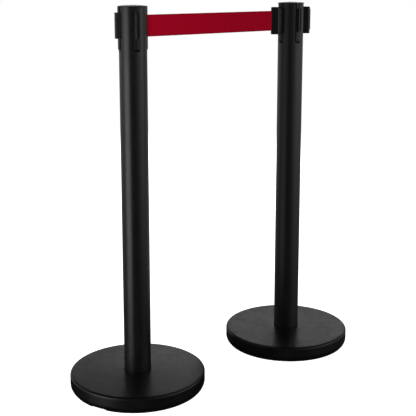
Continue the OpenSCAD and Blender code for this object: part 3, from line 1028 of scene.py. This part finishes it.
def card(name, centre, where, size, glow, fades):
    """An upright white card that faces a centre, at an angle, distance and height from it. Only reflections
    see it, and it dims softly over a share of its size at its sides, its top and its bottom."""
    look = Glow(name)
    at = look.parts(look.place("Generated"))
    side, top, bottom = fades
    strength = look.ranged(at["X"], 0.0, side, 0.0, glow, "SMOOTHSTEP")
    for axis, start, end in (("X", 1.0, 1 - side), ("Y", 0.0, bottom), ("Y", 1.0, 1 - top)):
        share = look.ranged(at[axis], start, end, 0.0, 1.0, "SMOOTHSTEP")
        strength = look.math("MULTIPLY", strength, share)
    look.link(strength, look.emission.inputs["Strength"])
    half_w, half_t = size[0] / 2, size[1] / 2
    corners = [(-half_w, -half_t, 0), (half_w, -half_t, 0), (half_w, half_t, 0), (-half_w, half_t, 0)]
    obj = new_object(name, corners, [(0, 1, 2, 3)])
    place = studio_place(centre, *where)
    obj.matrix_world = facing(place, Vector((centre.x, centre.y, place.z)))
    obj.data.materials.append(look.material)
    reflections_only(obj)


def fill(name, where, size, light):
    """A soft light on the pair, at an angle, distance and height, that shapes the matt surfaces and isn't
    mirrored. Its strength is the light on a white sheet that faces it."""
    data = bpy.data.lights.new(name, "AREA")
    data.shape = "RECTANGLE"
    data.size, data.size_y = size
    place = studio_place(PAIR, *where)
    distance = (HEART - place).length
    data.energy = light * math.pi * math.pi * distance**2
    lamp = bpy.data.objects.new(name, data)
    lamp.matrix_world = facing(place, HEART)
    hide_from(lamp, "camera", "glossy")
    bpy.context.scene.collection.objects.link(lamp)


# The sweep of white cloth round the pair: its radius, its lower edge, and its upper edge behind and in front
SWEEP_R = 2.7
SWEEP_LOW = -1.4
SWEEP_HIGH = 0.92
SWEEP_TALL = 1.7
SWEEP_BACK = math.cos(math.radians(112))
SWEEP_STEPS = 72
# The heights where its glow starts and where it is full, and how strong it is there
SWEEP_DARK = -1.06
SWEEP_FULL = 1.0
SWEEP_GAIN = 2.4
# How bright it is round the pair: angle from the camera, positive to the camera's right, and glow
SWEEP_GLOW = (
    (-180, 0.17),
    (-125, 0.28),
    (-95, 0.24),
    (-40, 0.04),
    (6, 0.035),
    (20, 0.08),
    (38, 0.20),
    (56, 0.39),
    (76, 0.46),
    (98, 0.33),
    (120, 0.21),
    (150, 0.15),
    (180, 0.15),
)


def sweep():
    """A wall of white cloth round the set, seen only in reflections. Its own +Y points at the camera, and its
    +X to the camera's right."""
    look = Glow("sweep")
    at = look.parts(look.place())
    turn = look.ranged(look.math("ARCTAN2", at["X"], at["Y"]), -math.pi, math.pi, 0.0, 1.0)
    stops = [((degrees + 180) / 360, (glow, glow, glow)) for degrees, glow in SWEEP_GLOW]
    look.link(look.ramp(turn, *stops, interpolation="EASE"), look.emission.inputs["Color"])
    gain = look.ranged(at["Z"], SWEEP_DARK, SWEEP_FULL, 0.0, SWEEP_GAIN)
    look.link(gain, look.emission.inputs["Strength"])
    steps = SWEEP_STEPS
    angles = [2 * math.pi * i / steps for i in range(steps)]
    ring = [(SWEEP_R * math.sin(a), SWEEP_R * math.cos(a)) for a in angles]
    tops = [SWEEP_TALL if math.cos(a) > SWEEP_BACK else SWEEP_HIGH for a in angles]
    vertices = [(x, y, SWEEP_LOW) for x, y in ring] + [(x, y, z) for (x, y), z in zip(ring, tops)]
    faces = [(i, (i + 1) % steps, steps + (i + 1) % steps, steps + i) for i in range(steps)]
    wall = new_object("sweep", vertices, faces)
    wall.matrix_world = Matrix((CAMERA_RIGHT, TO_CAMERA, (0, 0, 1))).transposed().to_4x4()
    wall.data.materials.append(look.material)
    reflections_only(wall)


def lights():
    beside = studio_place(AXIS["right"], 30, 0.0375, 0)
    card("left_card", AXIS["left"], (-53, 2.3, 0.05), size=(4.0, 2.2), glow=2.2, fades=(0.42, 0.2, 0.40))
    card("middle_card", beside, (-60, 0.2, 0.6), size=(0.26, 1.3), glow=0.33, fades=(0.3, 0.1, 0.25))
    card("back_card", PAIR, (168, 6.3, 2.45), size=(12.0, 2.1), glow=2.1, fades=(0.4, 0.66, 0.23))
    card("low_card", PAIR, (0, 2.6, -1.2), size=(5.0, 0.8), glow=0.2, fades=(0.2, 0.4, 0.4))
    sweep()
    fill("front_fill", (-8, 3.0, 1.5), size=(1.8, 1.4), light=0.98)
    fill("back_fill", (172, 3.0, 1.5), size=(1.8, 1.4), light=0.9)
    fill("top_fill", (-60, 1.2, 3.0), size=(2.0, 2.0), light=0.05)


pale_floor()
pale_dome()
studio_world()
lights()
bpy.context.scene.view_settings.view_transform = "Standard"

# ---------------------------------------------------------------- the pieces

for side in SIDES:
    base_cover(side)
    head(side)
    outlet(side)
    cap(side)
    for where in RECEIVERS:
        receiver(side, where)
    clip(side)
left_belt()
right_belt()
